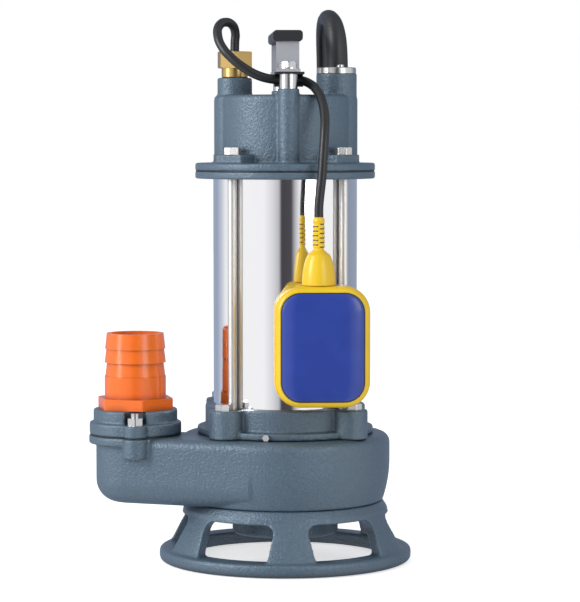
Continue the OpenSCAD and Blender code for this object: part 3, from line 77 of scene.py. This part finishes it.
# bump holds (scale, distance, strength) noises, from coarse to fine; shade (reach, start) paints shade into hollows by
# darkening the base colour with ambient occlusion
def material(name, rgb, metallic=0.0, roughness=0.5, coat=0.0, specular=0.5, bump=(), mottle=0.0, mottleScale=60,
             shade=None):
    m = bpy.data.materials.new(name)
    m.use_nodes = True
    tree = m.node_tree
    shader = next(n for n in tree.nodes if n.type == "BSDF_PRINCIPLED")
    shader.inputs["Base Color"].default_value = linear(rgb)
    shader.inputs["Metallic"].default_value = metallic
    shader.inputs["Roughness"].default_value = roughness
    shader.inputs["Coat Weight"].default_value = coat
    shader.inputs["Coat Roughness"].default_value = 0.12  # as a lacquer or a moulded skin
    shader.inputs["Specular IOR Level"].default_value = specular
    coord = tree.nodes.new("ShaderNodeTexCoord")
    last = None
    for scale, distance, strength in bump:
        noise = tree.nodes.new("ShaderNodeTexNoise")
        noise.inputs["Scale"].default_value = scale
        noise.inputs["Detail"].default_value = 3
        tree.links.new(coord.outputs["Object"], noise.inputs["Vector"])
        node = tree.nodes.new("ShaderNodeBump")
        node.inputs["Distance"].default_value = distance
        node.inputs["Strength"].default_value = strength
        tree.links.new(noise.outputs["Fac"], node.inputs["Height"])
        if last:
            tree.links.new(last.outputs["Normal"], node.inputs["Normal"])
        last = node
    if last:
        tree.links.new(last.outputs["Normal"], shader.inputs["Normal"])
    if mottle:
        noise = tree.nodes.new("ShaderNodeTexNoise")
        noise.inputs["Scale"].default_value = mottleScale
        noise.inputs["Detail"].default_value = 4
        tree.links.new(coord.outputs["Object"], noise.inputs["Vector"])
        ramp = tree.nodes.new("ShaderNodeValToRGB")
        ramp.color_ramp.elements[0].position = 0.3
        ramp.color_ramp.elements[1].position = 0.7
        ramp.color_ramp.elements[0].color = [c * (1 - mottle) for c in linear(rgb)[:3]] + [1]
        ramp.color_ramp.elements[1].color = [min(1, c * (1 + mottle)) for c in linear(rgb)[:3]] + [1]
        tree.links.new(noise.outputs["Fac"], ramp.inputs["Fac"])
        tree.links.new(ramp.outputs["Color"], shader.inputs["Base Color"])
        # Painted shade: ambient occlusion darkens the base colour in hollows and crevices
        if shade:
            hollowShade = tree.nodes.new("ShaderNodeAmbientOcclusion")
            hollowShade.samples = 12
            hollowShade.inputs["Distance"].default_value = shade[0]
            shadeStrength = tree.nodes.new("ShaderNodeMapRange")
            shadeStrength.inputs["From Min"].default_value = 0.1
            shadeStrength.inputs["From Max"].default_value = shade[1]
            shadeStrength.inputs["To Min"].default_value = 0.3
            tree.links.new(hollowShade.outputs["AO"], shadeStrength.inputs["Value"])
            paintedShade = tree.nodes.new("ShaderNodeMix")
            paintedShade.data_type = "RGBA"
            paintedShade.blend_type = "MULTIPLY"
            paintedShade.inputs["Factor"].default_value = 1
            tree.links.new(ramp.outputs["Color"], paintedShade.inputs[6])
            tree.links.new(shadeStrength.outputs["Result"], paintedShade.inputs[7])
            tree.links.new(paintedShade.outputs[2], shader.inputs["Base Color"])
    return m


finish = {
    # casting: shade paints darker colour into its crevices and hollows, where shadow falls
    "casting": material("casting", (86, 106, 123), 0.2, 0.34, specular=0.6,
                        bump=[(90, 0.001, 0.2), (480, 0.0009, 0.75), (1100, 0.0004, 0.7)],
                        mottle=0.1, mottleScale=500, shade=(0.03, 0.7)),
    "stainless": material("stainless", (240, 240, 242), 1.0, 0.07, bump=[(7, 0.0008, 0.08)]),
    "fastener": material("fastener", (196, 196, 198), 1.0, 0.24, bump=[(400, 0.0001, 0.3)]),
    "strap": material("strap", (222, 225, 233), 0.8, 0.34, bump=[(260, 0.0002, 0.4)]),
    "iron": material("iron", (176, 174, 182), 0.6, 0.45, bump=[(150, 0.001, 0.5), (600, 0.0006, 0.7)], mottle=0.1),
    "lamination": material("lamination", (92, 94, 98), 0.8, 0.5, bump=[(300, 0.0003, 0.4)]),
    "copper": material("copper", (176, 96, 48), 0.8, 0.38, bump=[(220, 0.001, 0.8)]),
    "brass": material("brass", (198, 166, 106), 1.0, 0.3, bump=[(300, 0.0001, 0.3)]),
    "rubber": material("rubber", (31, 33, 37), 0.0, 0.45, bump=[(500, 0.0002, 0.5)]),
    "cable": material("cable", (27, 28, 32), 0.0, 0.38, bump=[(300, 0.0002, 0.3)]),
    # orange_plastic: shade paints thin darker lines of shade under the barb's lips
    "orange_plastic": material("orange_plastic", (242, 112, 28), 0.0, 0.25, coat=0.2,
                               bump=[(90, 0.0004, 0.25)], mottle=0.04, shade=(0.006, 1)),
    "yellow_plastic": material("yellow_plastic", (240, 200, 36), 0.0, 0.27, bump=[(70, 0.0004, 0.2)], mottle=0.03),
    "blue_plastic": material("blue_plastic", (44, 68, 158), 0.0, 0.22, bump=[(60, 0.0006, 0.2)], mottle=0.05),
    "white_plastic": material("white_plastic", (222, 222, 214), 0.0, 0.4, bump=[(300, 0.0001, 0.3)]),
    "ceramic": material("ceramic", (232, 228, 218), 0.0, 0.25, bump=[(300, 0.0001, 0.2)]),
}
slots = {row["node"]: row["material_slot"] for row in frame["record"]["subparts"]}
for name, obj in nodes.items():
    obj.data.materials.clear()
    obj.data.materials.append(finish[slots[name]])
nodes["tie_bolts"].data.materials[0] = material("rod", (214, 212, 210), 1.0, 0.42, bump=[(900, 0.0004, 0.8)])
print("materials done")


def smoothShade(obj, angle=30):
    obj.data.shade_smooth()
    obj.data.set_sharp_from_angle(angle=math.radians(angle))


# A copy of a casting or moulding with soft corners
def cast(name, body, voxel, rounds, factor=0.5):
    src = nodes[name]
    obj = src.copy()
    obj.data = src.data.copy()
    obj.name = name + "Cast"
    obj.parent = None
    obj.matrix_world = Matrix()
    scene.collection.objects.link(obj)
    remesh = obj.modifiers.new("voxel", "REMESH")
    remesh.mode = "VOXEL"
    remesh.voxel_size = voxel
    remesh.use_smooth_shade = True
    soft = obj.modifiers.new("soft", "SMOOTH")
    soft.factor = factor
    soft.iterations = rounds
    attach(obj, body)
    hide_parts(name)
    return obj


castings = {
    "volute": {"voxel": 0.0011, "rounds": 8},
    "base_stand": {"voxel": 0.0011, "rounds": 8},
    "lower_bracket": {"voxel": 0.0009, "rounds": 6},
    "upper_bracket": {"voxel": 0.0009, "rounds": 4},
    "top_cover": {"voxel": 0.0009, "rounds": 6},
    "outlet_flange": {"voxel": 0.0008, "rounds": 6},
    "suction_plate": {"voxel": 0.0011, "rounds": 4},
}
for name, how in castings.items():
    cast(name, "pump", how["voxel"], how["rounds"])
cast("impeller", "rotor", 0.0008, 5)
cast("float_frame", "float", 0.0008, 6)
cast("float_neck", "float", 0.0005, 3)
cast("power_boot", "pump", 0.0006, 5)
print("castings done")

# The float's panels: thin pillows set a little into their rims, in millimetres; rings are (inset, out)
panel = {"centre": (26.5, -89.5, 197.25), "size": (70.6, 92.5), "corner": 16.5, "thick": 41, "steps": 9, "shadowSeam": 2,
         "rings": [(-0.4, -1.9), (-0.4, -0.5), (0.5, -0.3), (0.9, 0.1), (3, 0.9), (6, 1.7), (9.5, 2.3), (13, 2.6),
                   (15, 2.6)]}
# The panels' side walls take a dark navy colour: painted shadow in the gap between panel and rim
shadowSeamMaterial = material("shadowSeam", (24, 26, 40), 0.0, 0.6, bump=[(400, 0.0002, 0.3)])


def panelRing(inset):
    w, h = (v / 2 - inset for v in panel["size"])
    r = max(panel["corner"] - inset, 4)
    ring = []
    for k, (sx, sz) in enumerate([(1, 1), (-1, 1), (-1, -1), (1, -1)]):
        for i in range(panel["steps"] + 1):
            a = math.radians(90 * k + 90 * i / panel["steps"])
            ring.append((sx * (w - r) + r * math.cos(a), sz * (h - r) + r * math.sin(a)))
    return ring


def floatPanel(name, side):
    cx, cy, cz = panel["centre"]
    verts, faces = [], []
    n = 4 * (panel["steps"] + 1)
    for inset, out in panel["rings"]:
        y = cy + side * (panel["thick"] / 2 + out)
        verts += [((cx + x) / 1000, y / 1000, (cz + z) / 1000) for x, z in panelRing(inset)]
    for k in range(len(panel["rings"]) - 1):
        for i in range(n):
            j = (i + 1) % n
            quad = (k * n + i, k * n + j, (k + 1) * n + j, (k + 1) * n + i)
            faces.append(quad if side > 0 else quad[::-1])
    top = range(len(verts) - n, len(verts))
    faces.append(tuple(top) if side < 0 else tuple(reversed(top)))
    faces.append(tuple(range(n)) if side > 0 else tuple(reversed(range(n))))
    mesh = bpy.data.meshes.new(name)
    mesh.from_pydata(verts, [], faces)
    mesh.update()
    obj = bpy.data.objects.new(name, mesh)
    scene.collection.objects.link(obj)
    obj.data.materials.append(finish["blue_plastic"])
    obj.data.materials.append(shadowSeamMaterial)
    # The outer ring bands get the dark colour of painted shadow
    for face in mesh.polygons[:n * panel["shadowSeam"]]:
        face.material_index = 1
    smoothShade(obj, 35)
    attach(obj, "float")
    return obj


frontPanel = floatPanel("frontPanel", -1)
backPanel = floatPanel("backPanel", 1)
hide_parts("float_panels")
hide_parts("float_panels")


# The neck's slots, painted dark as the shade inside them, on both sides of a plain rib, one side half a step above the
# other, in metres
neckSlots = {"x": 0.024, "low": 0.2795, "pitch": 0.0039, "share": 0.27, "rib": 0.0008, "from": 0.001, "to": 0.0235,
             "yellow": (240, 200, 36), "slotShade": (58, 48, 14)}


def slottedMaterial():
    m = material("slottedNeck", neckSlots["yellow"], 0.0, 0.3, bump=[(70, 0.0004, 0.2)])
    tree = m.node_tree
    shader = next(n for n in tree.nodes if n.type == "BSDF_PRINCIPLED")

    def calc(operation, a, b):
        node = tree.nodes.new("ShaderNodeMath")
        node.operation = operation
        for socket, v in zip(node.inputs, (a, b)):
            if isinstance(v, (int, float)):
                socket.default_value = v
            else:
                tree.links.new(v, socket)
        return node.outputs["Value"]

    coord = tree.nodes.new("ShaderNodeTexCoord")
    split = tree.nodes.new("ShaderNodeSeparateXYZ")
    tree.links.new(coord.outputs["Object"], split.inputs["Vector"])
    across = calc("SUBTRACT", split.outputs["X"], neckSlots["x"])
    up = calc("SUBTRACT", split.outputs["Z"], neckSlots["low"])
    stagger = calc("MULTIPLY", calc("GREATER_THAN", across, 0), 0.5)
    phase = calc("FRACT", calc("ADD", calc("DIVIDE", up, neckSlots["pitch"]), stagger), 0)
    slotShadeMask = calc("LESS_THAN", phase, neckSlots["share"])
    slotShadeMask = calc("MULTIPLY", slotShadeMask, calc("GREATER_THAN", calc("ABSOLUTE", across, 0), neckSlots["rib"]))
    slotShadeMask = calc("MULTIPLY", slotShadeMask, calc("GREATER_THAN", up, neckSlots["from"]))
    slotShadeMask = calc("MULTIPLY", slotShadeMask, calc("LESS_THAN", up, neckSlots["to"]))
    # Slots take the dark yellow of painted shade
    ramp = tree.nodes.new("ShaderNodeValToRGB")
    ramp.color_ramp.elements[0].color = linear(neckSlots["yellow"])
    ramp.color_ramp.elements[1].color = linear(neckSlots["slotShade"])
    tree.links.new(slotShadeMask, ramp.inputs["Fac"])
    tree.links.new(ramp.outputs["Color"], shader.inputs["Base Color"])
    return m


neck = bpy.data.objects["float_neckCast"]
neck.data.materials.clear()
neck.data.materials.append(slottedMaterial())
print("float done")


# An open cord through the points, in metres
def curveCord(name, points, diameter):
    data = bpy.data.curves.new(name, "CURVE")
    data.dimensions = "3D"
    data.bevel_depth = diameter / 2
    data.bevel_resolution = 5
    data.resolution_u = 8
    data.use_fill_caps = True
    spline = data.splines.new("NURBS" if len(points) > 200 else "BEZIER")
    if spline.type == "BEZIER":
        spline.bezier_points.add(len(points) - 1)
        for p, co in zip(spline.bezier_points, points):
            p.co = co
            p.handle_left_type = p.handle_right_type = "AUTO"
    else:
        spline.points.add(len(points) - 1)
        for p, co in zip(spline.points, points):
            p.co = (*co, 1)
        spline.order_u = 3
        spline.use_endpoint_u = True
        spline.resolution_u = 2
    obj = bpy.data.objects.new(name, data)
    scene.collection.objects.link(obj)
    return obj


# The float's cable: a loop over its gland, under the handle's foot, over the cover's edge, down to the float
floatLead = {"diameter": 0.008, "still": (0.026, -0.0892, 0.345), "turned": (0.024, -0.0895, 0.304)}
floatRoute = [
    (-44.5, 0, 448), (-44.3, 0, 459), (-44, -1, 467), (-46.5, -4.5, 473.5), (-53, -10.5, 476), (-59, -18, 472),
    (-60, -26, 463), (-56.5, -32, 453.5), (-49, -37, 444.5), (-38, -40.5, 435.5), (-25, -41.5, 428.5),
    (-12, -41.4, 425.4), (0, -41.4, 425.1), (11, -41.8, 424.6), (19, -47, 421.5), (25, -56, 415),
    (28.5, -66, 405.5), (30, -76, 393), (29.3, -84, 378), (28, -88, 360), (26.5, -89.4, 340), (24.8, -89.5, 325),
    (24, -89.5, 316), (24, -89.5, 306),
]
floatLine = [(x / 1000, y / 1000, z / 1000) for x, y, z in floatRoute]


def length(points):
    return sum((Vector(b) - Vector(a)).length for a, b in zip(points, points[1:]))


floatCurve = curveCord("floatRoute", floatLine, floatLead["diameter"])
bpy.context.view_layer.update()
floatCable = bpy.data.objects.new("floatCable", bpy.data.meshes.new_from_object(floatCurve))
scene.collection.objects.link(floatCable)
bpy.data.objects.remove(floatCurve)
floatCable.data.materials.clear()
floatCable.data.materials.append(finish["cable"])
floatCable.data.shade_smooth()
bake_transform(floatCable)
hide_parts("float_cable")

# The power cable: out of its boot, down behind the shell and along the floor into the coil
lead = {"diameter": 0.010, "run": 26, "gap": 10, "plugGap": 13}
leadRoute = [
    (38.4, 28.8, 481.5), (37.1, 35.5, 482), (36.2, 44, 480.4), (35.9, 55, 474.3), (36.5, 66, 462.8),
    (37.5, 73.5, 447.8), (38, 78.5, 429.8), (38, 80.5, 409.8), (38, 82, 374.8), (38, 83, 339.8), (38, 84, 299.8),
    (37.3, 86, 255), (36.5, 90, 210), (35, 96, 165), (33.5, 105, 122), (32, 116, 85), (31, 129, 50), (32, 146, 22),
    (36, 168, 8.4), (42, 186, 5.3), (52, 204, 5),
]
coil = {"centre": (0, 272), "outR": 76, "pitch": 10.7, "turns": 3, "start": -10, "layers": 4, "last": 3,
        "lift": 0.3, "turnIn": 26, "rise": 23.3, "low": 5}


def ease(x):
    c = min(max(x, 0), 1)
    return c * c * (3 - 2 * c)


# Point of the coil t turns after its start, in millimetres: layers spiral in and out and climb where they reverse
def coilPoint(t):
    n, pitch = coil["turns"], coil["pitch"]
    inR = coil["outR"] - pitch * n
    k = min(int(t / (n + 0.5)), coil["layers"] - 1)
    s = t - k * (n + 0.5)
    top = k == coil["layers"] - 1
    travelled = s if s <= n + 0.25 else 2 * (n + 0.25) - s
    if k % 2 == 0:
        r = coil["outR"] - pitch * travelled
    elif top:
        r = inR + pitch * min(s, coil["last"] + coil["lift"])
        r -= coil["turnIn"] * ease((s - coil["last"] - coil["lift"]) / coil["lift"])
    else:
        r = inR + pitch * travelled
    z = coil["low"] + pitch * (k + (0 if top else 2 * max(s - n, 0)))
    if top:
        z += coil["rise"] * ease((s - coil["last"]) / coil["lift"])
    a = math.radians(coil["start"] + 360 * t)
    return Vector((coil["centre"][0] + r * math.cos(a), coil["centre"][1] + r * math.sin(a), z))


coilSteps = 24  # points in a turn
coilTotal = (coil["layers"] - 1) * (coil["turns"] + 0.5) + coil["last"] + 2 * coil["lift"]
coilRoute = [coilPoint(i / coilSteps) for i in range(int(coilTotal * coilSteps + 1e-6) + 1)]
startDir = (coilPoint(0.002) - coilPoint(0)).normalized()
endDir = coilPoint(coilTotal) - coilPoint(coilTotal - 0.02)
endDir.z = 0
endDir.normalize()
leadEnd = coilRoute[0] - startDir * lead["gap"]
plugPlace = coilRoute[-1] + endDir * lead["plugGap"]
route = [Vector(p) for p in leadRoute] + [leadEnd - startDir * lead["run"] * part for part in (1, 0.5, 0)]
route += coilRoute + [plugPlace]
powerLine = [tuple(p / 1000) for p in route]
powerCable = curveCord("powerCable", powerLine, lead["diameter"])
powerCable.data.materials.append(finish["cable"])
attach(powerCable, "pump")
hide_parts("power_cable", "power_cable_coil")
print("cords done", round(length(powerLine), 3), round(length(floatLine), 3))

# Pale floor
ground = {"size": 12, "drop": 0.0005, "glow": 0.6}
floorMat = material("floor", (250, 250, 250), 0.0, 0.9, specular=0.1)
bpy.ops.mesh.primitive_plane_add(size=ground["size"], location=(0, 0, -ground["drop"]))
floor = bpy.context.object
floor.name = "floor"
floor.data.materials.append(floorMat)
# To the camera the floor is as white as the backdrop, with the shadow left on it
tree = floorMat.node_tree
shader = next(n for n in tree.nodes if n.type == "BSDF_PRINCIPLED")
shader.inputs["Emission Color"].default_value = (ground["glow"],) * 3 + (1,)
rays = tree.nodes.new("ShaderNodeLightPath")
tree.links.new(rays.outputs["Is Camera Ray"], shader.inputs["Emission Strength"])
floor.visible_glossy = False

# Soft studio light all round: white in view, and in reflections a white room with a dark strip in front and a grey rear
studio = {
    "level": 0.5, "front": -3,
    "bands": [(-180, (158, 170, 192)), (-140, (160, 171, 194)), (-122, (205, 211, 222)), (-112, (244, 246, 248)),
              (-95, (255, 255, 255)), (-34, (255, 255, 255)), (-20, (228, 228, 232)), (-10, (196, 196, 200)),
              (-6, (72, 70, 74)), (10, (80, 78, 82)), (16, (190, 190, 194)), (25, (255, 255, 255)),
              (92, (255, 255, 255)), (108, (206, 210, 218)), (122, (146, 157, 174)), (180, (158, 168, 190))],
}
world = bpy.data.worlds.new("World")
scene.world = world
world.use_nodes = True
tree = world.node_tree
background = tree.nodes["Background"]
coord = tree.nodes.new("ShaderNodeTexCoord")
axes = tree.nodes.new("ShaderNodeSeparateXYZ")
flip = tree.nodes.new("ShaderNodeMath")
flip.operation = "MULTIPLY"
flip.inputs[1].default_value = -1
angle = tree.nodes.new("ShaderNodeMath")
angle.operation = "ARCTAN2"
scaled = tree.nodes.new("ShaderNodeMapRange")
turn = math.radians(studio["front"])
scaled.inputs["From Min"].default_value = -math.pi + turn
scaled.inputs["From Max"].default_value = math.pi + turn
bands = tree.nodes.new("ShaderNodeValToRGB")
ramp = bands.color_ramp
while len(ramp.elements) < len(studio["bands"]):
    ramp.elements.new(0.5)
for element, (degrees, rgb) in zip(ramp.elements, studio["bands"]):
    element.position = (degrees + 180) / 360
for element, (degrees, rgb) in zip(ramp.elements, studio["bands"]):
    element.color = linear(rgb)
rays = tree.nodes.new("ShaderNodeLightPath")
seen = tree.nodes.new("ShaderNodeMix")
seen.data_type = "RGBA"
seen.inputs[6].default_value = (studio["level"],) * 3 + (1,)
tree.links.new(coord.outputs["Generated"], axes.inputs["Vector"])
tree.links.new(axes.outputs["Y"], flip.inputs[0])
tree.links.new(axes.outputs["X"], angle.inputs[0])
tree.links.new(flip.outputs["Value"], angle.inputs[1])
tree.links.new(angle.outputs["Value"], scaled.inputs["Value"])
tree.links.new(scaled.outputs["Result"], bands.inputs["Fac"])
tree.links.new(rays.outputs["Is Glossy Ray"], seen.inputs[0])
tree.links.new(bands.outputs["Color"], seen.inputs[7])
white = tree.nodes.new("ShaderNodeMix")
white.data_type = "RGBA"
white.inputs[7].default_value = (1, 1, 1, 1)
tree.links.new(rays.outputs["Is Camera Ray"], white.inputs[0])
tree.links.new(seen.outputs[2], white.inputs[6])
tree.links.new(white.outputs[2], background.inputs["Color"])


def areaLight(name, place, aim, size, power):
    data = bpy.data.lights.new(name, "AREA")
    data.shape = "RECTANGLE"
    data.size, data.size_y = size
    data.energy = power
    obj = bpy.data.objects.new(name, data)
    scene.collection.objects.link(obj)
    obj.location = place
    obj.rotation_euler = (Vector(aim) - Vector(place)).to_track_quat("-Z", "Y").to_euler()
    return obj


# Key from the left, weak fill from the right, both aimed at the shell's middle
lamps = {
    "keyLight": {"place": (-2.05, -0.9, 1.2), "size": (0.6, 1.5), "power": 37},
    "fillLight": {"place": (1.3, -1.8, 0.9), "size": (0.8, 1.4), "power": 10},
}
for name, lamp in lamps.items():
    areaLight(name, lamp["place"], (0, 0, 0.25), lamp["size"], lamp["power"])
print("lights done")
